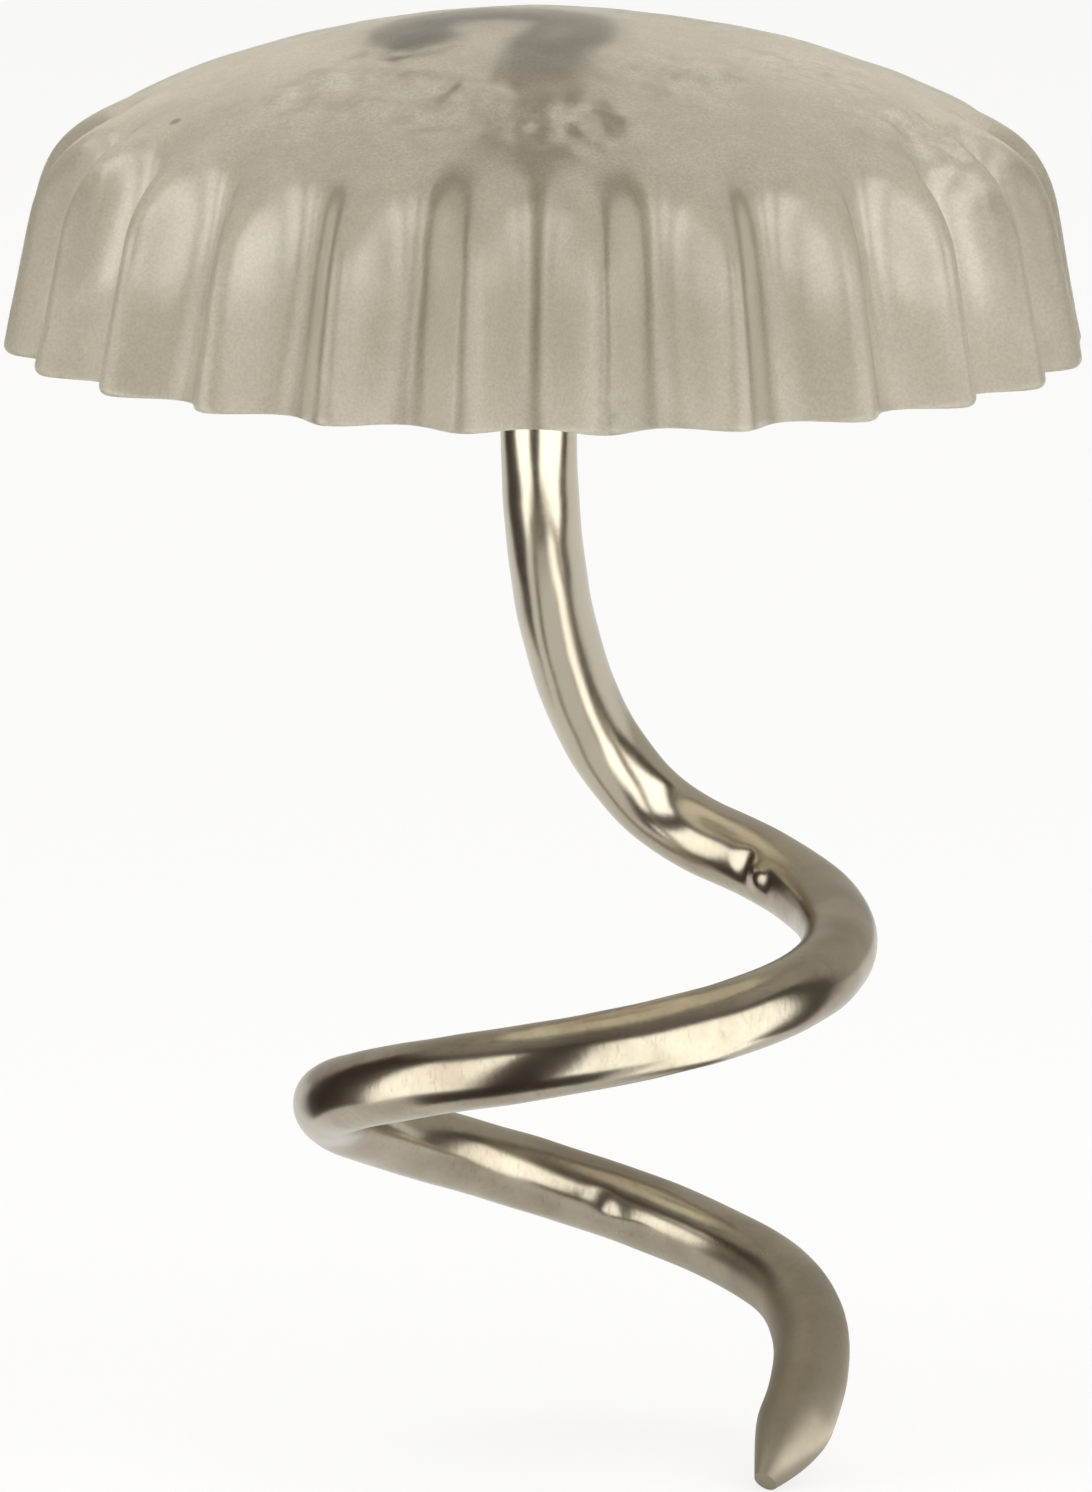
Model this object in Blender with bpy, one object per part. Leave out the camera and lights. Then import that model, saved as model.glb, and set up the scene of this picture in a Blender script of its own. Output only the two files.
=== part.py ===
"""Upholstery twist pin: a fluted clear head moulded on one length of twisted wire.

Metres, +Z up. The origin is the centre of the head's flat underside: the head rises
from it, and the wire drops away below it. The front of the pin faces -Y.
"""

import math

import bmesh
import bpy
from mathutils import Matrix, Vector

MM = 0.001

# Moulded head: a shallow crown on a drafted wall, flat underneath
HEAD_DIAMETER = 13.0 * MM
HEAD_HEIGHT = 4.05 * MM
CROWN_RADIUS = 12.0 * MM
WALL_DRAFT = math.radians(11.2)
SHOULDER_RADIUS = 1.45 * MM
RIM_RADIUS = 0.12 * MM

# Flutes scooped up the wall for the finger grip
FLUTE_COUNT = 24
FLUTE_DEPTH = 0.57 * MM
FLUTE_LEAN = math.radians(15.0)
FLUTE_FOOT_WIDTH = 1.5 * MM
FLUTE_TOP_WIDTH = 1.2 * MM
FLUTE_TURN = math.radians(-1.0)

# Wire, and the open ring at its upper end that the plastic grips
WIRE_DIAMETER = 0.92 * MM
MOULD_GAP = 0.05 * MM
ANCHOR_HEIGHT = 2.45 * MM
ANCHOR_BORE = 0.84 * MM
ANCHOR_INNER_BEND = 0.06 * MM
ANCHOR_SWEEP = math.radians(236.0)
ANCHOR_HEADING = math.radians(62.0)

# Stem, which stands a touch to the left of the head's axis, and the sweep that takes it out to the twist
STEM_OFFSET = -0.055 * MM
STEM_DROP = 0.5 * MM
SWEEP_STEM_REACH = 1.9 * MM
SWEEP_TWIST_REACH = 2.5 * MM

# Right-hand twist: angles are counted down the wire from the +X side
TWIST_RADIUS = 2.99 * MM
TWIST_PITCH = 4.75 * MM
TWIST_DROP = 7.0 * MM
TWIST_OFFSET = 0.65 * MM
TWIST_LEAN = math.radians(4.9)
TWIST_LEAN_HEADING = math.radians(229.5)
TWIST_START = math.radians(-60.0)
TWIST_END = math.radians(393.0)

# Ground point: the last of the twist dives, and the wire tapers to a blunt end
DIVE_SWEEP = math.radians(67.0)
DIVE_DROP = 1.2 * MM
POINT_LENGTH = 1.0 * MM
POINT_BLUNT_DIAMETER = 0.3 * MM
POINT_FULLNESS = 1.6

# Facets
RIDGE_SEGMENTS = 4
CROWN_STEPS = 9
SHOULDER_STEPS = 6
RIM_STEPS = 2
FLUTE_SIDES = 24
WIRE_BEVEL_STEPS = 6
WIRE_STEP = 0.34 * MM
POINT_STEPS = 6
SHARP_ANGLE = math.radians(38.0)

# Overrun of a cutter past the face that it breaks through
CUT_OVERRUN = 0.4 * MM

HEAD_RADIUS = HEAD_DIAMETER / 2
WIRE_RADIUS = WIRE_DIAMETER / 2
ANCHOR_RADIUS = WIRE_RADIUS + ANCHOR_BORE / 2
ANCHOR_BEND_RADIUS = WIRE_RADIUS + ANCHOR_INNER_BEND


def clear_scene():
    for item in list(bpy.data.objects):
        bpy.data.objects.remove(item, do_unlink=True)


def principled(name, colour, roughness, metallic=0.0, transmission=0.0):
    """A material with one Principled shader."""
    material = bpy.data.materials.new(name)
    material.use_nodes = True
    shader = material.node_tree.nodes["Principled BSDF"]
    shader.inputs["Base Color"].default_value = (*colour, 1.0)
    shader.inputs["Roughness"].default_value = roughness
    shader.inputs["Metallic"].default_value = metallic
    shader.inputs["Transmission Weight"].default_value = transmission
    material.diffuse_color = (*colour, 1.0)
    return material


def add_object(name, mesh):
    item = bpy.data.objects.new(name, mesh)
    bpy.context.scene.collection.objects.link(item)
    return item


def evaluated_mesh(item):
    """A new mesh of the item with its curve or modifiers worked out."""
    depsgraph = bpy.context.evaluated_depsgraph_get()
    return bpy.data.meshes.new_from_object(item.evaluated_get(depsgraph))


def smooth_shade(mesh):
    mesh.shade_smooth()
    mesh.set_sharp_from_angle(angle=SHARP_ANGLE)


def cut(item, cutter):
    """Take a cutter's volume out of an item, and keep the cutter as a guide."""
    cutter.hide_render = True
    cutter.display_type = "WIRE"
    boolean = item.modifiers.new(cutter.name, "BOOLEAN")
    boolean.operation = "DIFFERENCE"
    boolean.solver = "EXACT"
    boolean.use_self = True
    boolean.object = cutter


def arc(centre, radius, start, end, steps):
    """Points (radius, height) along an arc of the head's profile."""
    points = []
    for step in range(steps + 1):
        angle = start + (end - start) * step / steps
        points.append((centre[0] + radius * math.cos(angle), centre[1] + radius * math.sin(angle)))
    return points


def head_profile():
    """The head's half section, from the crown's middle down to the underside."""
    lean_cos = math.cos(WALL_DRAFT)
    lean_sin = math.sin(WALL_DRAFT)
    # The wall's line meets the underside here, a little outside the rounded rim
    rim_setback = RIM_RADIUS * (1.0 + lean_sin) / lean_cos
    wall_foot = HEAD_RADIUS + rim_setback - RIM_RADIUS
    crown_centre = HEAD_HEIGHT - CROWN_RADIUS
    # The shoulder's centre lies on a line inside the wall, and inside the crown's arc
    line_x = wall_foot - SHOULDER_RADIUS * lean_cos
    line_z = -SHOULDER_RADIUS * lean_sin - crown_centre
    along = line_z * lean_cos - line_x * lean_sin
    reach = (CROWN_RADIUS - SHOULDER_RADIUS) ** 2 - line_x ** 2 - line_z ** 2
    up_wall = -along + math.sqrt(along ** 2 + reach)
    shoulder = (line_x - up_wall * lean_sin, line_z + up_wall * lean_cos + crown_centre)
    crown_edge = math.atan2(shoulder[1] - crown_centre, shoulder[0])
    rim = (wall_foot - rim_setback, RIM_RADIUS)
    crown = arc((0.0, crown_centre), CROWN_RADIUS, math.pi / 2, crown_edge, CROWN_STEPS)
    crown[0] = (0.0, HEAD_HEIGHT)
    bend = arc(shoulder, SHOULDER_RADIUS, crown_edge, WALL_DRAFT, SHOULDER_STEPS)
    edge = arc(rim, RIM_RADIUS, WALL_DRAFT, -math.pi / 2, RIM_STEPS)
    return crown + bend[1:] + edge


def turned_head():
    """The plain head turned from its profile, with facet lines along the ridges."""
    mesh = bpy.data.meshes.new("fluted_head")
    shape = bmesh.new()
    ridge = Matrix.Rotation(FLUTE_TURN + math.pi / FLUTE_COUNT, 3, "Z")
    section = [shape.verts.new(ridge @ Vector((x, 0.0, z))) for x, z in head_profile()]
    edges = [shape.edges.new(pair) for pair in zip(section, section[1:])]
    bmesh.ops.spin(
        shape,
        geom=section + edges,
        axis=(0.0, 0.0, 1.0),
        cent=(0.0, 0.0, 0.0),
        angle=2 * math.pi,
        steps=FLUTE_COUNT * RIDGE_SEGMENTS,
        use_merge=True,
    )
    bmesh.ops.remove_doubles(shape, verts=shape.verts[:], dist=MM * 0.001)
    rim_edges = [edge for edge in shape.edges if edge.is_boundary]
    bmesh.ops.contextual_create(shape, geom=rim_edges)
    bmesh.ops.recalc_face_normals(shape, faces=shape.faces[:])
    shape.to_mesh(mesh)
    shape.free()
    return add_object("fluted_head", mesh)


def flute_cutters():
    """Tapered round cutters, one to a flute, that lean in over the crown."""
    mesh = bpy.data.meshes.new("flute_cutters")
    shape = bmesh.new()
    rise = Vector((-math.sin(FLUTE_LEAN), 0.0, math.cos(FLUTE_LEAN)))
    outward = Vector((math.cos(FLUTE_LEAN), 0.0, math.sin(FLUTE_LEAN)))
    foot = Vector((HEAD_RADIUS - FLUTE_DEPTH, 0.0, 0.0))
    length = HEAD_HEIGHT / math.cos(FLUTE_LEAN)
    taper = (FLUTE_TOP_WIDTH - FLUTE_FOOT_WIDTH) / 2 / length
    below = FLUTE_FOOT_WIDTH * math.tan(FLUTE_LEAN) + CUT_OVERRUN
    for flute in range(FLUTE_COUNT):
        turn = Matrix.Rotation(FLUTE_TURN + 2 * math.pi * flute / FLUTE_COUNT, 3, "Z")
        rings = []
        for along in (-below, length + CUT_OVERRUN):
            radius = FLUTE_FOOT_WIDTH / 2 + taper * along
            centre = foot + rise * along + outward * radius
            ring = []
            for side in range(FLUTE_SIDES):
                angle = 2 * math.pi * side / FLUTE_SIDES
                offset = outward * math.cos(angle) + Vector((0.0, 1.0, 0.0)) * math.sin(angle)
                ring.append(shape.verts.new(turn @ (centre + offset * radius)))
            rings.append(ring)
            shape.faces.new(ring)
        for side in range(FLUTE_SIDES):
            after = (side + 1) % FLUTE_SIDES
            shape.faces.new((rings[0][side], rings[0][after], rings[1][after], rings[1][side]))
    bmesh.ops.recalc_face_normals(shape, faces=shape.faces[:])
    shape.to_mesh(mesh)
    shape.free()
    return add_object("flute_cutters", mesh)


def steps_for(length, step=WIRE_STEP):
    return max(2, math.ceil(length / step))


def stem_point(height):
    """A point on the stem's middle line."""
    return Vector((STEM_OFFSET, 0.0, height))


def anchor_route():
    """The ring inside the head, from its cut end round to the stem's upper bend."""
    ahead = Vector((math.cos(ANCHOR_HEADING), math.sin(ANCHOR_HEADING), 0.0))
    side = Vector((-ahead.y, ahead.x, 0.0))
    up = Vector((0.0, 0.0, 1.0))
    join = stem_point(ANCHOR_HEIGHT) + ahead * ANCHOR_BEND_RADIUS
    ring_centre = join + side * ANCHOR_RADIUS
    bend_centre = join - up * ANCHOR_BEND_RADIUS
    points = []
    ring_steps = steps_for(ANCHOR_SWEEP * ANCHOR_RADIUS, WIRE_STEP / 2)
    for step in range(ring_steps, 0, -1):
        angle = ANCHOR_SWEEP * step / ring_steps
        points.append(ring_centre + (ahead * math.sin(angle) - side * math.cos(angle)) * ANCHOR_RADIUS)
    bend_steps = steps_for(ANCHOR_BEND_RADIUS * math.pi / 2, WIRE_STEP / 2)
    for step in range(bend_steps + 1):
        angle = math.pi / 2 * step / bend_steps
        points.append(bend_centre + (up * math.cos(angle) - ahead * math.sin(angle)) * ANCHOR_BEND_RADIUS)
    return points


def twist_point(angle):
    """A point on the twist, at an angle counted down the wire from the +X side."""
    lean_axis = Vector((math.sin(TWIST_LEAN_HEADING), -math.cos(TWIST_LEAN_HEADING), 0.0))
    lean = Matrix.Rotation(TWIST_LEAN, 3, lean_axis)
    dive = max(0.0, angle - TWIST_END + DIVE_SWEEP) / DIVE_SWEEP
    drop = TWIST_PITCH * angle / (2 * math.pi) + DIVE_DROP * dive ** 2
    point = Vector((TWIST_RADIUS * math.cos(angle), -TWIST_RADIUS * math.sin(angle), -drop))
    return lean @ point + Vector((TWIST_OFFSET, 0.0, -TWIST_DROP))


def sweep_route():
    """The curve that leaves the straight stem and runs out onto the twist."""
    start = stem_point(-STEM_DROP)
    end = twist_point(TWIST_START)
    small_angle = math.radians(0.5)
    heading = (twist_point(TWIST_START + small_angle) - end).normalized()
    leave = stem_point(-STEM_DROP - SWEEP_STEM_REACH)
    arrive = end - heading * SWEEP_TWIST_REACH
    span = (leave - start).length + (arrive - leave).length + (end - arrive).length
    steps = steps_for(span)
    points = []
    for step in range(steps):
        t = step / steps
        s = 1.0 - t
        points.append(start * s ** 3 + leave * 3 * s * s * t + arrive * 3 * s * t * t + end * t ** 3)
    return points


def twist_route():
    """The twist, from where the sweep joins it to the end of the point."""
    turn_length = math.hypot(2 * math.pi * TWIST_RADIUS, TWIST_PITCH)
    sweep = TWIST_END - TWIST_START
    steps = steps_for(turn_length * sweep / (2 * math.pi))
    point_sweep = POINT_LENGTH / TWIST_RADIUS
    points = []
    for step in range(steps + 1):
        angle = TWIST_START + (sweep - point_sweep) * step / steps
        points.append(twist_point(angle))
    for step in range(1, POINT_STEPS + 1):
        points.append(twist_point(TWIST_END - point_sweep * (1.0 - step / POINT_STEPS)))
    return points


def wire_route():
    stem_top = ANCHOR_HEIGHT - ANCHOR_BEND_RADIUS
    stem_steps = steps_for(stem_top + STEM_DROP)
    stem = []
    for step in range(1, stem_steps):
        stem.append(stem_point(stem_top - (stem_top + STEM_DROP) * step / stem_steps))
    return anchor_route() + stem + sweep_route() + twist_route()


def lengths_along(route):
    lengths = [0.0]
    for before, after in zip(route, route[1:]):
        lengths.append(lengths[-1] + (after - before).length)
    return lengths


def wire_radii(route):
    """Full radius all the way, then a rounded taper down to the blunt end."""
    lengths = lengths_along(route)
    blunt = POINT_BLUNT_DIAMETER / 2
    radii = []
    for length in lengths:
        taper = max(0.0, 1.0 - (lengths[-1] - length) / POINT_LENGTH)
        radii.append(WIRE_RADIUS - (WIRE_RADIUS - blunt) * taper ** POINT_FULLNESS)
    return radii


def tube(name, route, radii):
    """One closed round tube along a route."""
    curve = bpy.data.curves.new(name, "CURVE")
    curve.dimensions = "3D"
    curve.bevel_depth = 1.0
    curve.bevel_resolution = WIRE_BEVEL_STEPS
    curve.use_fill_caps = True
    spline = curve.splines.new("POLY")
    spline.points.add(len(route) - 1)
    for point, place, radius in zip(spline.points, route, radii):
        point.co = (*place, 1.0)
        point.radius = radius
    guide = add_object(name + "_route", curve)
    mesh = evaluated_mesh(guide)
    bpy.data.objects.remove(guide, do_unlink=True)
    mesh.name = name
    return add_object(name, mesh)


def least_self_gap(route):
    """The least clear gap between stretches of the wire that aren't neighbours along it."""
    lengths = lengths_along(route)
    neighbour_span = 3 * WIRE_DIAMETER
    least = math.inf
    for first, place in enumerate(route):
        for second in range(first + 1, len(route)):
            if lengths[second] - lengths[first] > neighbour_span:
                least = min(least, (route[second] - place).length)
    return least - WIRE_DIAMETER


def twist_wire(route):
    wire = tube("twist_wire", route, wire_radii(route))
    wire.data.materials.append(principled("nickel_plate", (0.45, 0.41, 0.34), 0.28, metallic=1.0))
    smooth_shade(wire.data)
    return wire


def fluted_head(route):
    """The turned head, with its flutes and the channel that grips the wire cut out."""
    head = turned_head()
    flutes = flute_cutters()
    inside = [place for place in route[:-1] if place.z > -CUT_OVERRUN]
    inside.append(stem_point(-CUT_OVERRUN))
    first_step = (inside[0] - inside[1]).normalized()
    inside[0] = inside[0] + first_step * MOULD_GAP
    channel = tube("wire_channel", inside, [WIRE_RADIUS + MOULD_GAP] * len(inside))
    cut(head, flutes)
    cut(head, channel)
    mesh = evaluated_mesh(head)
    head.modifiers.clear()
    head.data = mesh
    mesh.name = "fluted_head"
    head.data.materials.append(principled("frosted_plastic", (0.47, 0.43, 0.34), 0.35, transmission=0.6))
    smooth_shade(mesh)
    return head


def build():
    clear_scene()
    route = wire_route()
    twist_wire(route)
    fluted_head(route)
    print("least gap of the wire to itself: %.2f mm" % (least_self_gap(route) / MM))
    print("wire length: %.1f mm" % (lengths_along(route)[-1] / MM))


build()
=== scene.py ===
import math

import bpy
import numpy as np
from mathutils import Matrix, Vector, noise


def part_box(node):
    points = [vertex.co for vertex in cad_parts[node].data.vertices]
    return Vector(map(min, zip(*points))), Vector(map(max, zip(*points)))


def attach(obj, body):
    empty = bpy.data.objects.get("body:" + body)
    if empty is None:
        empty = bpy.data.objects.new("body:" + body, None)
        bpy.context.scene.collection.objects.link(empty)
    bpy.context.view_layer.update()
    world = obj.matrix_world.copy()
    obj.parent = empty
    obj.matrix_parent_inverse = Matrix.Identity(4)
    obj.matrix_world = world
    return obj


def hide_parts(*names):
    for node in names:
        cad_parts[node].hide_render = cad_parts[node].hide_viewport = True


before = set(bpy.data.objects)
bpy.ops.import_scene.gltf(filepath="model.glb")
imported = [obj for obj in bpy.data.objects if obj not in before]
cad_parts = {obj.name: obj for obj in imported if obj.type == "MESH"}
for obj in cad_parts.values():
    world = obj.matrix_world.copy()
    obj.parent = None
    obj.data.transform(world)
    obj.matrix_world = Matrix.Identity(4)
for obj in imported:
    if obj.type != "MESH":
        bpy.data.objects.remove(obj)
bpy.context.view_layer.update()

MM = 0.001

# Viewpoint: the photograph's frame, and where the pin's origin lies in it
PHOTO_WIDTH = 1092
PHOTO_HEIGHT = 1492
ORIGIN_PIXEL = (543.8, 350.3)
HEAD_PIXELS = 1084.0
VIEW_DISTANCE = 300.0 * MM
VIEW_ELEVATION = math.radians(9.05)
VIEW_ROLL = math.radians(0.6)
SENSOR_LONG_SIDE = 36.0

# Moulded head
HEAD_DIAMETER = 13.0 * MM
HEAD_HEIGHT = 4.05 * MM
CROWN_RADIUS = 12.0 * MM
WALL_DRAFT = math.radians(11.2)
SHOULDER_RADIUS = 1.45 * MM
RIM_RADIUS = 0.12 * MM

# Flutes scooped up the head's wall, with soft ridges between them
FLUTE_COUNT = 24
FLUTE_DEPTH = 0.57 * MM
FLUTE_LEAN = math.radians(15.0)
FLUTE_FOOT_WIDTH = 1.5 * MM
FLUTE_TOP_WIDTH = 1.2 * MM
FLUTE_TURN = math.radians(-1.0)
FLUTE_EDGE_SLOPE = 3.0
FLUTE_SETTLE_STEPS = 12
RIDGE_SOFTNESS = 0.6 * MM
RIDGE_PASSES = 40
ARCH_PASSES = 8

# The moulded skin's slow and quick unevenness: how deep, and how far from one rise to the next
SKIN_WAVES = ((0.03 * MM, 1.7 * MM), (0.012 * MM, 0.55 * MM))
SKIN_RIM_FADE = 0.35 * MM
SKIN_FINENESS = 0.001 * MM

# Scuffed patches of the crown, in millimetres: the middle of each, and its reach. Their bright mottle is in
# part a painted highlight: the patch at (0.3, -4.0, 3.3) paints in the stem's gleam through the plastic, and
# the one on the rim at (0.85, -6.2, 0.24) is a painted glint
SCUFF_AND_GLINT_PATCHES = (
    ((-2.3, -2.6, 3.5), 1.7),
    ((-1.2, -3.4, 3.4), 1.5),
    ((0.3, -4.0, 3.3), 1.2),
    ((1.6, -2.4, 3.6), 1.3),
    ((3.1, -1.05, 3.6), 1.3),
    ((4.4, -2.0, 3.0), 1.5),
    ((0.85, -6.2, 0.24), 0.5),
)
SCUFF_WAVES = ((0.14 * MM, 0.6 * MM), (0.06 * MM, 0.28 * MM))

# A dark speck moulded into the crown, in millimetres: its middle and its reach
SPECK_PLACE = (-4.41, -2.0, 3.03)
SPECK_REACH = 0.11

# Heights, in millimetres, between which the head turns to its crown, and from its foot to its wall; the foot
# is painted lighter, as painted light
CROWN_HEIGHTS = (2.3, 3.1)
PAINTED_LIGHT_FOOT_HEIGHTS = (0.2, 1.8)

# Wire: the anchor ring in the plastic, the stem, the twist and the ground point
WIRE_DIAMETER = 0.92 * MM
ANCHOR_HEIGHT = 2.45 * MM
ANCHOR_BORE = 0.84 * MM
ANCHOR_INNER_BEND = 0.06 * MM
ANCHOR_SWEEP = math.radians(236.0)
ANCHOR_HEADING = math.radians(62.0)
STEM_OFFSET = -0.055 * MM
STEM_DROP = 0.5 * MM
SWEEP_STEM_REACH = 1.9 * MM
SWEEP_TWIST_REACH = 2.5 * MM
TWIST_RADIUS = 2.99 * MM
TWIST_PITCH = 4.75 * MM
TWIST_DROP = 7.0 * MM
TWIST_OFFSET = 0.65 * MM
TWIST_LEAN = math.radians(4.9)
TWIST_LEAN_HEADING = math.radians(229.5)
TWIST_START = math.radians(-60.0)
TWIST_END = math.radians(393.0)
DIVE_SWEEP = math.radians(67.0)
DIVE_DROP = 1.2 * MM
POINT_LENGTH = 1.0 * MM
POINT_BLUNT_DIAMETER = 0.3 * MM
POINT_FULLNESS = 1.6

# Marks on the wire, in millimetres: the middle of each, its reach, and how far it stands out or sinks in
WIRE_MARKS = (
    ((2.5, 1.82, -6.54), 0.25, -0.04),
    ((2.66, 1.6, -6.71), 0.25, 0.06),
    ((0.79, 2.26, -10.87), 0.28, -0.022),
    ((1.28, 2.2, -11.28), 0.25, -0.022),
    ((1.0, 2.25, -11.05), 0.25, 0.015),
)
WIRE_WAVE_DEPTH = 0.012 * MM
WIRE_WAVE_SPACING = 0.7 * MM

# Heights, in millimetres, between which the wire turns from its ground point to its plate, from there to its
# stem, painted brighter as a painted sheen, and from the stem to the ring in the plastic, painted dark as
# painted shade
GROUND_HEIGHTS = (-12.0, -11.0)
PAINTED_SHEEN_STEM_HEIGHTS = (-7.0, -5.5)
PAINTED_SHADE_RING_HEIGHTS = (1.7, 2.2)

# Mesh counts
COLUMNS_PER_FLUTE = 30
CROWN_LEVELS = 62
SHOULDER_LEVELS = 18
WALL_LEVELS = 20
RIM_LEVELS = 6
UNDERSIDE_LEVELS = 10
WIRE_SIDES = 44
WIRE_STEP = 0.06 * MM
WIRE_SHARP_ANGLE = math.radians(50.0)
SWEEP_AIM_STEP = math.radians(0.5)

HEAD_RADIUS = HEAD_DIAMETER / 2
WIRE_RADIUS = WIRE_DIAMETER / 2
ANCHOR_RADIUS = WIRE_RADIUS + ANCHOR_BORE / 2
ANCHOR_BEND_RADIUS = WIRE_RADIUS + ANCHOR_INNER_BEND
FLOOR_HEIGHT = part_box("twist_wire")[0][2]


class Shade:
    """One socket of a finish's nodes. Arithmetic on it adds Math nodes."""

    def __init__(self, tree, socket=None):
        self.tree = tree
        self.socket = socket

    def node(self, kind, settings=None, sockets=None, out=0):
        """Any node: its type, its settings, then the values or links of its sockets."""
        made = self.tree.nodes.new(kind)
        for name, value in (settings or {}).items():
            setattr(made, name, value)
        for name, value in (sockets or {}).items():
            if isinstance(value, Shade):
                self.tree.links.new(value.socket, made.inputs[name])
            else:
                made.inputs[name].default_value = value
        return Shade(self.tree, made.outputs[out]) if made.outputs else None

    def math(self, operation, first, second=0.0):
        return self.node("ShaderNodeMath", {"operation": operation}, {0: first, 1: second})

    def __add__(self, other):
        return self.math("ADD", self, other)

    def __radd__(self, other):
        return self.math("ADD", other, self)

    def __sub__(self, other):
        return self.math("SUBTRACT", self, other)

    def __rsub__(self, other):
        return self.math("SUBTRACT", other, self)

    def __mul__(self, other):
        return self.math("MULTIPLY", self, other)

    def __rmul__(self, other):
        return self.math("MULTIPLY", other, self)

    def __truediv__(self, other):
        return self.math("DIVIDE", self, other)

    def __rtruediv__(self, other):
        return self.math("DIVIDE", other, self)

    def most(self, other):
        """The greater of two numbers."""
        return self.math("MAXIMUM", self, other)

    def rise(self, low, high):
        """0 below low, 1 above high, and a smooth step between."""
        return self.node(
            "ShaderNodeMapRange",
            {"interpolation_type": "SMOOTHSTEP"},
            {"Value": self, "From Min": low, "From Max": high},
        )

    def blend(self, factor, first, second):
        """A colour between two colours."""
        return self.node("ShaderNodeMix", {"data_type": "RGBA"}, {0: factor, 6: first, 7: second}, out=2)

    def part(self, axis):
        """One number of a vector."""
        return self.node("ShaderNodeSeparateXYZ", {}, {0: self}, out=axis)

    def distance(self, place):
        """How far this place lies from another."""
        return self.node("ShaderNodeVectorMath", {"operation": "DISTANCE"}, {0: self, 1: place}, out="Value")

    def stretch(self, factors):
        """A vector, such as a place, times a factor on each axis."""
        return self.node("ShaderNodeVectorMath", {"operation": "MULTIPLY"}, {0: self, 1: factors})

    def grain(self, scale, detail=2.0, roughness=0.5):
        """Noise at this place."""
        sockets = {"Vector": self, "Scale": scale, "Detail": detail, "Roughness": roughness}
        return self.node("ShaderNodeTexNoise", {}, sockets)


def colour(red, green, blue):
    return (red, green, blue, 1.0)


def add_piece(name, vertices, faces, finish):
    """A smooth mesh object with one finish."""
    mesh = bpy.data.meshes.new(name)
    mesh.from_pydata([tuple(place) for place in vertices], [], faces)
    mesh.validate()
    mesh.shade_smooth()
    mesh.materials.append(finish)
    item = bpy.data.objects.new(name, mesh)
    bpy.context.scene.collection.objects.link(item)
    return item


def new_finish(name):
    """An empty node material, and a Shade to start its nodes from."""
    material = bpy.data.materials.new(name)
    material.use_nodes = True
    material.node_tree.nodes.clear()
    return material, Shade(material.node_tree)


def to_surface(start, shader):
    start.node("ShaderNodeOutputMaterial", {}, {"Surface": shader})


# Finishes

# The plastic's tints
CLOUDY_TINT = colour(0.72, 0.678, 0.556)
CLEAR_TINT = colour(0.805, 0.757, 0.619)
# Painted light: the foot's lighter tint makes up for the light the lower wall lacks
FOOT_PAINTED_LIGHT_TINT = colour(0.94, 0.885, 0.732)
MILKY_TINT = colour(0.98, 0.925, 0.78)
DULL_SCUFF_TINT = colour(0.55, 0.517, 0.42)
# Bright scuffs, and a painted highlight where they stand for glints on the rim and over the stem
BRIGHT_SCUFF_AND_GLINT_TINT = colour(1.0, 0.98, 0.90)
FROST_TINT = colour(0.505, 0.47, 0.394)
SPECK_TINT = colour(0.14, 0.11, 0.08)

# The wire's tones
PLATE_TONE = colour(0.45, 0.41, 0.33)
TARNISH_TONE = colour(0.34, 0.30, 0.232)
SCRATCH_TONE = colour(0.20, 0.162, 0.118)
GROUND_TONE = colour(0.33, 0.295, 0.232)
# Painted sheen: the stem's plate is lighter to stand in for the gleam along it
STEM_PAINTED_SHEEN_TONE = colour(0.54, 0.495, 0.405)
# Painted shade: the ring inside the plastic is darkened for the dark surroundings it mirrors there
RING_PAINTED_SHADE_TONE = colour(0.22, 0.205, 0.175)


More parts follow.
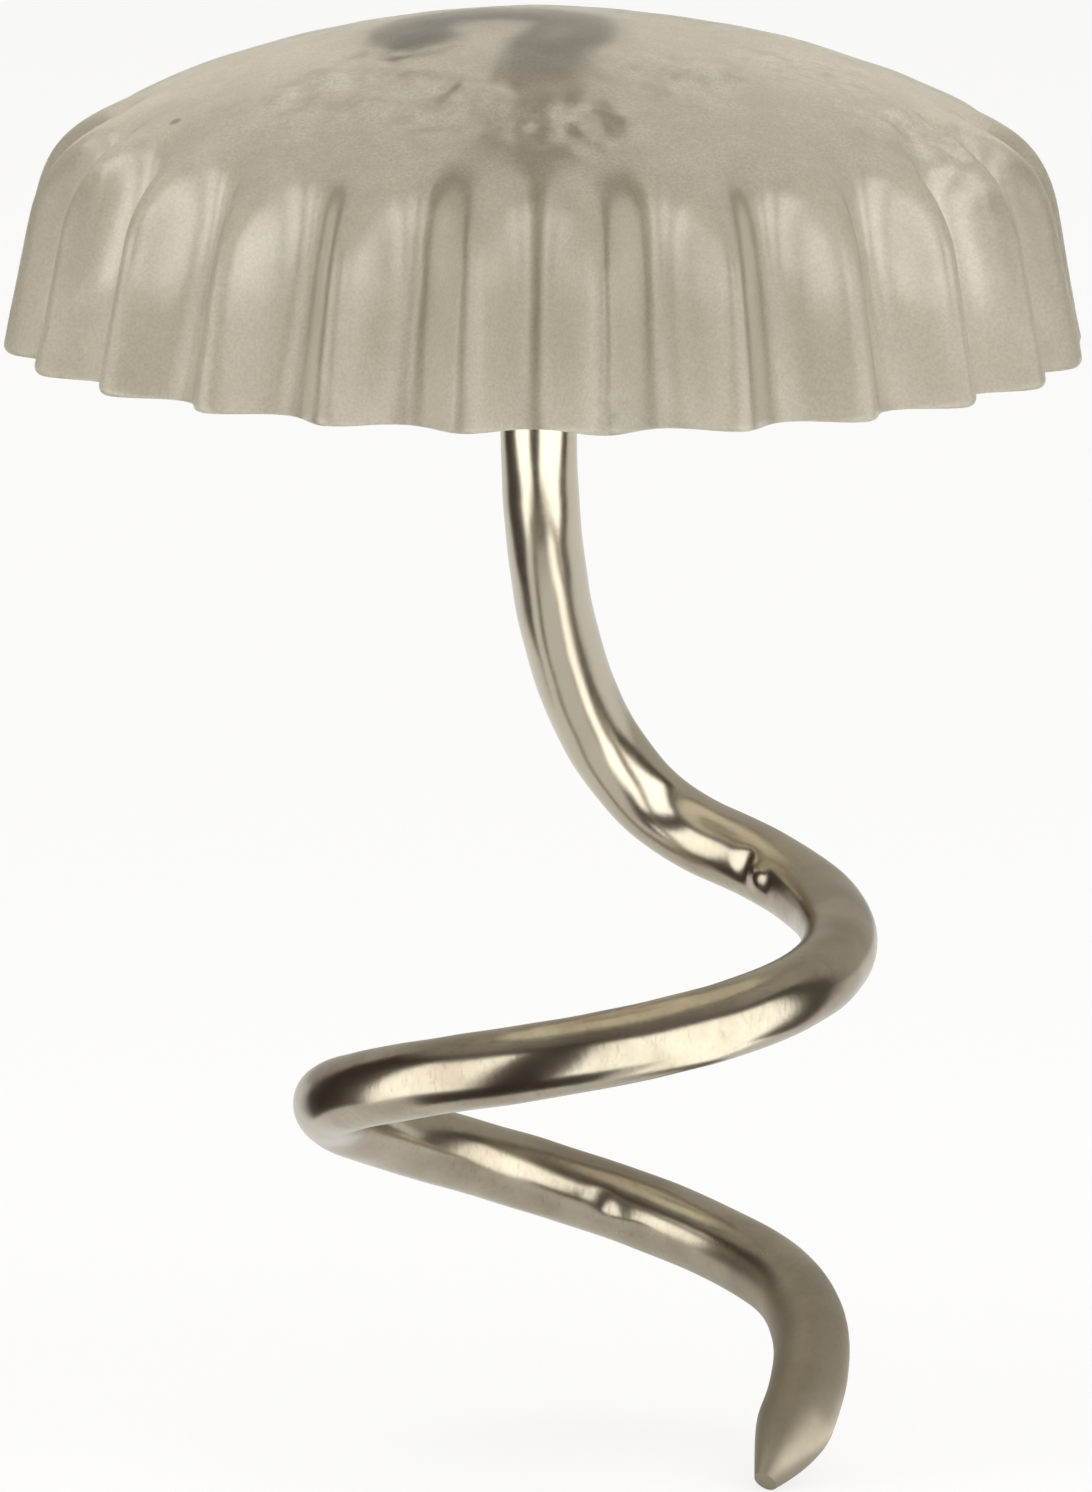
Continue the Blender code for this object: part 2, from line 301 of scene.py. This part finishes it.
def frosted_plastic():
    """Milky clear plastic: cloudy inside, finely frosted outside, with ragged scuffs on the crown; the foot
    is painted lighter as painted light, and the brightest scuffs are in part painted highlights.
    """
    material, start = new_finish("frosted_plastic")
    place = start.node("ShaderNodeTexCoord", out="Object").stretch((1 / MM,) * 3)
    height = place.part("Z")
    crown = height.rise(*CROWN_HEIGHTS)
    foot = 1 - height.rise(*PAINTED_LIGHT_FOOT_HEIGHTS)
    cloud = place.grain(scale=0.6, detail=4.0).rise(0.3, 0.7)
    mottle = place.grain(scale=2.2, detail=5.0, roughness=0.65)
    frost = place.grain(scale=26.0, detail=2.0, roughness=0.7)
    patches = [1 - place.distance(centre) / reach for centre, reach in SCUFF_AND_GLINT_PATCHES]
    scuff_and_glint = patches[0]
    for patch in patches[1:]:
        scuff_and_glint = scuff_and_glint.most(patch)
    scuff_and_glint = scuff_and_glint.rise(0.0, 0.7)
    bright_scuff_and_glint = scuff_and_glint * mottle.rise(0.48, 0.62)
    dull_scuff = scuff_and_glint * (1 - mottle.rise(0.38, 0.5))
    speck = 1 - place.distance(SPECK_PLACE) / SPECK_REACH
    tint = start.blend(cloud, CLOUDY_TINT, CLEAR_TINT)
    # Painted light: the foot is lightened, fading out up the wall
    tint = start.blend(foot * 0.45, tint, FOOT_PAINTED_LIGHT_TINT)
    tint = start.blend(mottle.rise(0.35, 0.65) * (crown * 0.2 + 0.4), tint, MILKY_TINT)
    tint = start.blend(dull_scuff * 0.7, tint, DULL_SCUFF_TINT)
    # Bright scuffs; on the rim and over the stem this tint is a painted highlight
    tint = start.blend(bright_scuff_and_glint, tint, BRIGHT_SCUFF_AND_GLINT_TINT)
    tint = start.blend(frost.rise(0.3, 0.7) * (crown * 0.2 + 0.5), tint, FROST_TINT)
    tint = start.blend(speck.rise(0.0, 0.6) * 0.8, tint, SPECK_TINT)
    skin = start.node("ShaderNodeBump", {}, {"Strength": 0.15, "Distance": 0.01 * MM, "Height": frost})
    shader = start.node(
        "ShaderNodeBsdfPrincipled",
        {},
        {
            "Base Color": tint,
            "Roughness": 0.31 - crown * 0.03 + cloud * 0.02 + bright_scuff_and_glint * 0.1,
            "IOR": 1.49,
            "Specular IOR Level": 0.15,
            "Transmission Weight": 0.92,
            "Normal": skin,
        },
    )
    to_surface(start, shader)
    return material


def nickel_plate():
    """Dull tarnished nickel: matt at the ground point, with a painted sheen that makes the stem brighter and
    painted shade that makes the ring in the plastic dark.
    """
    material, start = new_finish("nickel_plate")
    place = start.node("ShaderNodeTexCoord", out="Object").stretch((1 / MM,) * 3)
    height = place.part("Z")
    tarnish = place.grain(scale=1.1, detail=4.0)
    scratch = place.stretch((1.0, 1.0, 0.4)).grain(scale=14.0, detail=4.0, roughness=0.75)
    ground = 1 - height.rise(*GROUND_HEIGHTS)
    plate = start.blend(tarnish.rise(0.35, 0.7), PLATE_TONE, TARNISH_TONE)
    plate = start.blend(scratch.rise(0.5, 0.75) * 0.35, plate, SCRATCH_TONE)
    plate = start.blend(ground * 0.6, plate, GROUND_TONE)
    # Painted sheen on the stem, from its lower part up into the head
    plate = start.blend(height.rise(*PAINTED_SHEEN_STEM_HEIGHTS), plate, STEM_PAINTED_SHEEN_TONE)
    # Painted shade on the ring in the plastic
    plate = start.blend(height.rise(*PAINTED_SHADE_RING_HEIGHTS), plate, RING_PAINTED_SHADE_TONE)
    skin = start.node("ShaderNodeBump", {}, {"Strength": 0.2, "Distance": 0.006 * MM, "Height": scratch})
    shader = start.node(
        "ShaderNodeBsdfPrincipled",
        {},
        {
            "Base Color": plate,
            "Metallic": 1.0,
            "Roughness": 0.15 + tarnish * 0.08 + scratch * 0.08 + ground * 0.34,
            "Normal": skin,
        },
    )
    to_surface(start, shader)
    return material


# Head


def head_section():
    """The plain head's half section, as radii and heights from the crown's middle to the rim's foot."""
    lean_cos = math.cos(WALL_DRAFT)
    lean_sin = math.sin(WALL_DRAFT)
    rim_setback = RIM_RADIUS * (1.0 + lean_sin) / lean_cos
    wall_foot = HEAD_RADIUS + rim_setback - RIM_RADIUS
    crown_centre = HEAD_HEIGHT - CROWN_RADIUS
    line_x = wall_foot - SHOULDER_RADIUS * lean_cos
    line_z = -SHOULDER_RADIUS * lean_sin - crown_centre
    along = line_z * lean_cos - line_x * lean_sin
    reach = (CROWN_RADIUS - SHOULDER_RADIUS) ** 2 - line_x ** 2 - line_z ** 2
    up_wall = -along + math.sqrt(along ** 2 + reach)
    shoulder = (line_x - up_wall * lean_sin, line_z + up_wall * lean_cos + crown_centre)
    crown_edge = math.atan2(shoulder[1] - crown_centre, shoulder[0])
    rim = (wall_foot - rim_setback, RIM_RADIUS)

    def arc(centre, radius, start, end, steps):
        angles = np.linspace(start, end, steps + 1)
        return np.stack([centre[0] + radius * np.cos(angles), centre[1] + radius * np.sin(angles)])

    crown = arc((0.0, crown_centre), CROWN_RADIUS, math.pi / 2, crown_edge, CROWN_LEVELS)
    bend = arc(shoulder, SHOULDER_RADIUS, crown_edge, WALL_DRAFT, SHOULDER_LEVELS)
    edge = arc(rim, RIM_RADIUS, WALL_DRAFT, -math.pi / 2, RIM_LEVELS)
    steps = np.linspace(0.0, 1.0, WALL_LEVELS + 1)[1:-1]
    wall = bend[:, -1:] * (1 - steps) + edge[:, :1] * steps
    return np.concatenate([crown[:, 1:], bend[:, 1:], wall, edge], axis=1)


def soft_least(first, second, softness):
    """The lesser of two lengths, rounded over where they cross."""
    near = np.maximum(softness - np.abs(first - second), 0.0) / softness
    return np.minimum(first, second) - near ** 2 * softness / 4


def flute_floor(heights, turn):
    """How far out the nearest flute's scooped floor lies, at these heights and this turn from its middle."""
    lean_cos = math.cos(FLUTE_LEAN)
    lean_sin = math.sin(FLUTE_LEAN)
    foot = HEAD_RADIUS - FLUTE_DEPTH
    length = HEAD_HEIGHT / lean_cos
    taper = (FLUTE_TOP_WIDTH - FLUTE_FOOT_WIDTH) / 2 / length
    radii = np.full_like(heights, foot)
    for settle in range(FLUTE_SETTLE_STEPS):
        along = heights * lean_cos - (radii * math.cos(turn) - foot) * lean_sin
        scoop = FLUTE_FOOT_WIDTH / 2 + taper * along
        across = np.abs(radii * math.sin(turn))
        within = np.minimum(across, scoop)
        depth = scoop - np.sqrt(scoop ** 2 - within ** 2) + FLUTE_EDGE_SLOPE * (across - within)
        radii = ((depth - heights * lean_sin) / lean_cos + foot) / math.cos(turn)
    return radii


def softened(skin):
    """The skin's columns of radii and heights, with its ridges and the scoops' arch tops rounded over."""
    radii = skin[:, :, 0]
    crests = radii.max(axis=0)
    floors = radii.min(axis=0)
    for step in range(RIDGE_PASSES):
        radii = (radii + (np.roll(radii, 1, axis=0) + np.roll(radii, -1, axis=0)) / 2) / 2
    # The rounded ridges keep their height, level by level
    depths = radii.max(axis=0) - radii.min(axis=0)
    share = (radii - radii.min(axis=0)) / np.maximum(depths, SKIN_FINENESS)
    skin[:, :, 0] = floors + (crests - floors) * share
    worn = slice(1, -RIM_LEVELS - 1)
    for step in range(ARCH_PASSES):
        along = (skin[:, :-2] + skin[:, 2:]) / 2
        skin[:, worn] = (skin[:, worn] + along[:, : -RIM_LEVELS]) / 2
    return skin


def scuffing(place):
    """How scuffed the skin is at a place: 1 at the middle of a patch, 0 outside them all."""
    most = 0.0
    for centre, reach in SCUFF_AND_GLINT_PATCHES:
        most = max(most, 1.0 - (place / MM - Vector(centre)).length / reach)
    return most * most * (3.0 - 2.0 * most)


def uneven_skin(radii, heights, azimuth):
    """A column of the head's skin, moved in and out a little as moulded plastic is, but still at the rim."""
    along = np.gradient(np.stack([radii, heights]), axis=1)
    outward = np.stack([-along[1], along[0]]) / np.hypot(*along)
    shift = np.zeros_like(radii)
    for level, (radius, height) in enumerate(zip(radii, heights)):
        place = Vector((radius * math.cos(azimuth), radius * math.sin(azimuth), height))
        scuffed = scuffing(place)
        for depth, spacing in SKIN_WAVES:
            shift[level] += depth * noise.noise(place / spacing)
        for depth, spacing in SCUFF_WAVES:
            shift[level] += scuffed * depth * noise.noise(place / spacing)
    shift *= np.clip(heights / SKIN_RIM_FADE, 0.0, 1.0)
    return radii + outward[0] * shift, heights + outward[1] * shift


def fluted_head():
    """The whole head as one skin: crown, scooped wall, rim and flat underside."""
    columns = FLUTE_COUNT * COLUMNS_PER_FLUTE
    plain, heights = head_section()
    skin = []
    for column in range(columns):
        from_middle = (column + COLUMNS_PER_FLUTE // 2) % COLUMNS_PER_FLUTE - COLUMNS_PER_FLUTE // 2
        turn = 2 * math.pi * from_middle / columns
        skin.append((soft_least(plain, flute_floor(heights, turn), RIDGE_SOFTNESS), heights))
    skin = softened(np.array(skin).transpose(0, 2, 1))
    vertices = [(0.0, 0.0, HEAD_HEIGHT)]
    for column in range(columns):
        azimuth = FLUTE_TURN + 2 * math.pi * column / columns
        radii, heights = uneven_skin(skin[column, :, 0], skin[column, :, 1], azimuth)
        shrink = np.linspace(1.0, 0.0, UNDERSIDE_LEVELS + 1)[1:-1]
        radii = np.concatenate([radii, radii[-1] * shrink])
        heights = np.concatenate([heights, np.zeros_like(shrink)])
        for radius, height in zip(radii, heights):
            vertices.append((radius * math.cos(azimuth), radius * math.sin(azimuth), height))
    levels = len(radii)
    vertices.append((0.0, 0.0, 0.0))
    faces = []
    last = len(vertices) - 1
    for column in range(columns):
        here = 1 + column * levels
        there = 1 + (column + 1) % columns * levels
        faces.append((0, here, there))
        for level in range(levels - 1):
            faces.append((here + level, here + level + 1, there + level + 1, there + level))
        faces.append((last, there + levels - 1, here + levels - 1))
    head = add_piece("clear_head", vertices, faces, frosted_plastic())
    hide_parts("fluted_head")
    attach(head, "root")


# Wire


def steps_for(length):
    return max(2, math.ceil(length / WIRE_STEP))


def stem_point(height):
    """A point on the stem's middle line."""
    return Vector((STEM_OFFSET, 0.0, height))


def anchor_route():
    """The ring inside the head, from its cut end round to the stem's upper bend."""
    ahead = Vector((math.cos(ANCHOR_HEADING), math.sin(ANCHOR_HEADING), 0.0))
    side = Vector((-ahead.y, ahead.x, 0.0))
    up = Vector((0.0, 0.0, 1.0))
    join = stem_point(ANCHOR_HEIGHT) + ahead * ANCHOR_BEND_RADIUS
    ring_centre = join + side * ANCHOR_RADIUS
    bend_centre = join - up * ANCHOR_BEND_RADIUS
    points = []
    ring_steps = steps_for(ANCHOR_SWEEP * ANCHOR_RADIUS)
    for step in range(ring_steps, 0, -1):
        angle = ANCHOR_SWEEP * step / ring_steps
        points.append(ring_centre + (ahead * math.sin(angle) - side * math.cos(angle)) * ANCHOR_RADIUS)
    bend_steps = steps_for(ANCHOR_BEND_RADIUS * math.pi / 2)
    for step in range(bend_steps + 1):
        angle = math.pi / 2 * step / bend_steps
        points.append(bend_centre + (up * math.cos(angle) - ahead * math.sin(angle)) * ANCHOR_BEND_RADIUS)
    return points


def twist_point(angle):
    """A point on the twist, at an angle counted down the wire from the +X side."""
    lean_axis = Vector((math.sin(TWIST_LEAN_HEADING), -math.cos(TWIST_LEAN_HEADING), 0.0))
    lean = Matrix.Rotation(TWIST_LEAN, 3, lean_axis)
    dive = max(0.0, angle - TWIST_END + DIVE_SWEEP) / DIVE_SWEEP
    drop = TWIST_PITCH * angle / (2 * math.pi) + DIVE_DROP * dive ** 2
    point = Vector((TWIST_RADIUS * math.cos(angle), -TWIST_RADIUS * math.sin(angle), -drop))
    return lean @ point + Vector((TWIST_OFFSET, 0.0, -TWIST_DROP))


def sweep_route():
    """The curve that leaves the straight stem and runs out onto the twist."""
    start = stem_point(-STEM_DROP)
    end = twist_point(TWIST_START)
    heading = (twist_point(TWIST_START + SWEEP_AIM_STEP) - end).normalized()
    leave = stem_point(-STEM_DROP - SWEEP_STEM_REACH)
    arrive = end - heading * SWEEP_TWIST_REACH
    steps = steps_for((leave - start).length + (arrive - leave).length + (end - arrive).length)
    points = []
    for step in range(steps):
        t = step / steps
        s = 1.0 - t
        points.append(start * s ** 3 + leave * 3 * s * s * t + arrive * 3 * s * t * t + end * t ** 3)
    return points


def wire_route():
    """The wire's middle line, from the anchor's cut end to the tip of the point."""
    stem_top = ANCHOR_HEIGHT - ANCHOR_BEND_RADIUS
    stem_steps = steps_for(stem_top + STEM_DROP)
    stem = []
    for step in range(1, stem_steps):
        stem.append(stem_point(stem_top - (stem_top + STEM_DROP) * step / stem_steps))
    turn_length = math.hypot(2 * math.pi * TWIST_RADIUS, TWIST_PITCH)
    sweep = TWIST_END - TWIST_START
    steps = steps_for(turn_length * sweep / (2 * math.pi))
    twist = [twist_point(TWIST_START + sweep * step / steps) for step in range(steps + 1)]
    return anchor_route() + stem + sweep_route() + twist


def wire_radius(to_end):
    """The wire's radius at a length from its tip: full, then a rounded taper to the blunt end."""
    taper = max(0.0, 1.0 - to_end / POINT_LENGTH)
    return WIRE_RADIUS - (WIRE_RADIUS - POINT_BLUNT_DIAMETER / 2) * taper ** POINT_FULLNESS


def mark_rise(place):
    """How far the wire's slight waves, nicks and burrs move its skin out at a place."""
    rise = WIRE_WAVE_DEPTH * noise.noise(place / WIRE_WAVE_SPACING)
    for centre, reach, height in WIRE_MARKS:
        near = max(0.0, 1.0 - (place / MM - Vector(centre)).length / reach)
        rise += height * MM * near * near * (3.0 - 2.0 * near)
    return rise


def twist_wire():
    """The whole wire as one tube along its route, closed at both ends."""
    route = wire_route()
    lengths = [0.0]
    for before, after in zip(route, route[1:]):
        lengths.append(lengths[-1] + (after - before).length)
    side = Vector((0.0, 0.0, 1.0))
    vertices = []
    faces = []
    for index, place in enumerate(route):
        before = route[max(0, index - 1)]
        after = route[min(len(route) - 1, index + 1)]
        heading = (after - before).normalized()
        side = (side - heading * side.dot(heading)).normalized()
        other = heading.cross(side)
        radius = wire_radius(lengths[-1] - lengths[index])
        for step in range(WIRE_SIDES):
            angle = 2 * math.pi * step / WIRE_SIDES
            outward = side * math.cos(angle) + other * math.sin(angle)
            skin = place + outward * radius
            vertices.append(skin + outward * mark_rise(skin))
    rings = len(route)
    for ring in range(rings - 1):
        for step in range(WIRE_SIDES):
            after = (step + 1) % WIRE_SIDES
            here = ring * WIRE_SIDES
            there = here + WIRE_SIDES
            faces.append((here + step, here + after, there + after, there + step))
    faces.append(tuple(range(WIRE_SIDES - 1, -1, -1)))
    faces.append(tuple((rings - 1) * WIRE_SIDES + step for step in range(WIRE_SIDES)))
    wire = add_piece("nickel_wire", vertices, faces, nickel_plate())
    wire.data.set_sharp_from_angle(angle=WIRE_SHARP_ANGLE)
    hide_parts("twist_wire")
    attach(wire, "root")


# Stage: floor, light and camera

FLOOR_RADIUS = 700.0 * MM
FLOOR_SIDES = 96
# How much of the floor is plain white, where it is seen directly or through the head, and in a reflection
FLOOR_WHITE_SHARE = 0.8
FLOOR_GLEAM_SHARE = 0.4
FLOOR_COLOUR = colour(0.9, 0.9, 0.89)

REAR_TONE = colour(0.53, 0.505, 0.455)
FRONT_TONE = colour(0.22, 0.20, 0.175)
PANEL_COLOUR = colour(1.0, 0.99, 0.95)
PANEL_STRENGTH = 2.5

# Each softbox's side, its azimuths from the front and those of its board, in degrees
SOFTBOXES = (
    ("left", (-79.0, -32.0), (-129.0, -8.0)),
    ("right", (3.0, 79.0), (-21.0, 103.0)),
)
LOW_BOARD_AZIMUTHS = (-60.0, 25.0)
LOW_PANEL_AZIMUTHS = (38.0, 90.0)

# Rows of the sheets, from near to far: reach from the pin's axis, and height above the floor
SOFTBOX_ROWS = ((7.5 * MM, 0.3 * MM), (60.0 * MM, 38.0 * MM))
BOARD_ROWS = ((7.8 * MM, 0.2 * MM), (62.0 * MM, 38.6 * MM), (70.0 * MM, 66.0 * MM))
LOW_BOARD_ROWS = ((3.5 * MM, 0.1 * MM), (9.0 * MM, 0.1 * MM))
LOW_PANEL_ROWS = ((4.2 * MM, 0.2 * MM), (7.5 * MM, 0.3 * MM))
SHEET_COLUMNS = 16
OVERHEAD_SIZE = 300.0 * MM
OVERHEAD_HEIGHT = 160.0 * MM
OVERHEAD_RADIANCE = 1.2
BOARD_COLOUR = colour(0.05, 0.038, 0.028)


def pale_floor():
    """A pale floor that shows white, yet keeps the pin's shadow."""
    material, start = new_finish("pale_floor")
    direct = start.node("ShaderNodeLightPath", out="Is Camera Ray")
    through = start.node("ShaderNodeLightPath", out="Is Transmission Ray")
    mirrored = start.node("ShaderNodeLightPath", out="Is Glossy Ray")
    shown = direct.most(through) * FLOOR_WHITE_SHARE
    seen = shown.most(mirrored * FLOOR_GLEAM_SHARE)
    matt = start.node("ShaderNodeBsdfDiffuse", {}, {"Color": FLOOR_COLOUR})
    white = start.node("ShaderNodeEmission", {}, {"Color": colour(1.0, 1.0, 1.0), "Strength": 1.0})
    shader = start.node("ShaderNodeMixShader", {}, {0: seen, 1: matt, 2: white})
    to_surface(start, shader)
    ring = []
    for step in range(FLOOR_SIDES):
        angle = 2 * math.pi * step / FLOOR_SIDES
        ring.append((FLOOR_RADIUS * math.cos(angle), FLOOR_RADIUS * math.sin(angle), FLOOR_HEIGHT))
    floor = add_piece("floor", ring, [tuple(range(FLOOR_SIDES))], material)


def lit_panel():
    """The even, slightly warm glow of the softboxes and the low panel."""
    material, start = new_finish("lit_panel")
    glow = start.node("ShaderNodeEmission", {}, {"Color": PANEL_COLOUR, "Strength": PANEL_STRENGTH})
    to_surface(start, glow)
    return material


def dark_board():
    """The boards' matt dark brown."""
    material, start = new_finish("dark_board")
    to_surface(start, start.node("ShaderNodeBsdfDiffuse", {}, {"Color": BOARD_COLOUR}))
    return material


def curved_sheet(name, azimuths, rows, finish):
    """A sheet curved round the pin through its rows, between two azimuths, and hidden from the camera."""
    corners = []
    faces = []
    wide = SHEET_COLUMNS + 1
    for row, (reach, height) in enumerate(rows):
        for column in range(wide):
            angle = math.radians(azimuths[0] + (azimuths[1] - azimuths[0]) * column / SHEET_COLUMNS)
            corners.append((reach * math.sin(angle), -reach * math.cos(angle), FLOOR_HEIGHT + height))
            if row and column:
                here = row * wide + column
                faces.append((here - wide - 1, here - wide, here, here - 1))
    sheet = add_piece(name, corners, faces, finish)
    sheet.visible_camera = False
    return sheet


def studio():
    """Two softboxes before dark boards, a low board and panel, and a broad overhead lamp, in a grey room."""
    panel = lit_panel()
    board = dark_board()
    reflectors = []
    for side, azimuths, wider in SOFTBOXES:
        softbox = curved_sheet("softbox_" + side, azimuths, SOFTBOX_ROWS, panel)
        softbox.visible_transmission = False
        reflectors.append(curved_sheet("board_" + side, wider, BOARD_ROWS, board))
    reflectors.append(curved_sheet("board_low", LOW_BOARD_AZIMUTHS, LOW_BOARD_ROWS, board))
    reflectors.append(curved_sheet("panel_low", LOW_PANEL_AZIMUTHS, LOW_PANEL_ROWS, panel))
    # These show only in reflections
    for item in reflectors:
        item.visible_diffuse = False
        item.visible_shadow = False
        item.visible_transmission = False
    world = bpy.data.worlds.new("grey_room")
    world.use_nodes = True
    world.node_tree.nodes.clear()
    start = Shade(world.node_tree)
    heading = start.node("ShaderNodeTexCoord", out="Generated")
    tone = start.blend((0 - heading.part("Y")).rise(-0.2, 0.7), REAR_TONE, FRONT_TONE)
    light = start.node("ShaderNodeBackground", {}, {"Color": tone, "Strength": 1.0})
    start.node("ShaderNodeOutputWorld", {}, {"Surface": light})
    bpy.context.scene.world = world
    lamp = bpy.data.lights.new("overhead_lamp", "AREA")
    lamp.shape = "DISK"
    lamp.size = OVERHEAD_SIZE
    # A disk lamp's power for a given radiance: pi times its area times the radiance
    lamp.energy = OVERHEAD_RADIANCE * math.pi * math.pi * OVERHEAD_SIZE ** 2 / 4
    over = bpy.data.objects.new("overhead_lamp", lamp)
    over.location = (0.0, 0.0, OVERHEAD_HEIGHT)
    over.visible_glossy = False
    bpy.context.scene.collection.objects.link(over)


def photo_camera():
    """A long lens at the photograph's angle, turned so that the pin's origin falls on its pixel."""
    focal = HEAD_PIXELS / HEAD_DIAMETER * VIEW_DISTANCE
    away = Vector((0.0, -math.cos(VIEW_ELEVATION), math.sin(VIEW_ELEVATION)))
    level = Matrix((Vector((1.0, 0.0, 0.0)), away.cross(Vector((1.0, 0.0, 0.0))), away)).transposed()
    roll = Matrix.Rotation(VIEW_ROLL, 3, "Z")
    drop = math.atan((PHOTO_HEIGHT / 2 - ORIGIN_PIXEL[1]) / focal)
    swing = math.atan((PHOTO_WIDTH / 2 - ORIGIN_PIXEL[0]) / focal)
    aim = Matrix.Rotation(-drop, 3, "X") @ Matrix.Rotation(-swing, 3, "Y")
    lens = bpy.data.cameras.new("photo_camera")
    lens.sensor_width = SENSOR_LONG_SIDE
    lens.lens = SENSOR_LONG_SIDE * focal / PHOTO_HEIGHT
    lens.clip_start = VIEW_DISTANCE / 10
    camera = bpy.data.objects.new("photo_camera", lens)
    camera.matrix_world = Matrix.Translation(away * VIEW_DISTANCE) @ (level @ roll @ aim).to_4x4()
    bpy.context.scene.collection.objects.link(camera)
    bpy.context.scene.camera = camera


fluted_head()
twist_wire()
pale_floor()
studio()
photo_camera()
bpy.context.scene.view_settings.view_transform = "Standard"
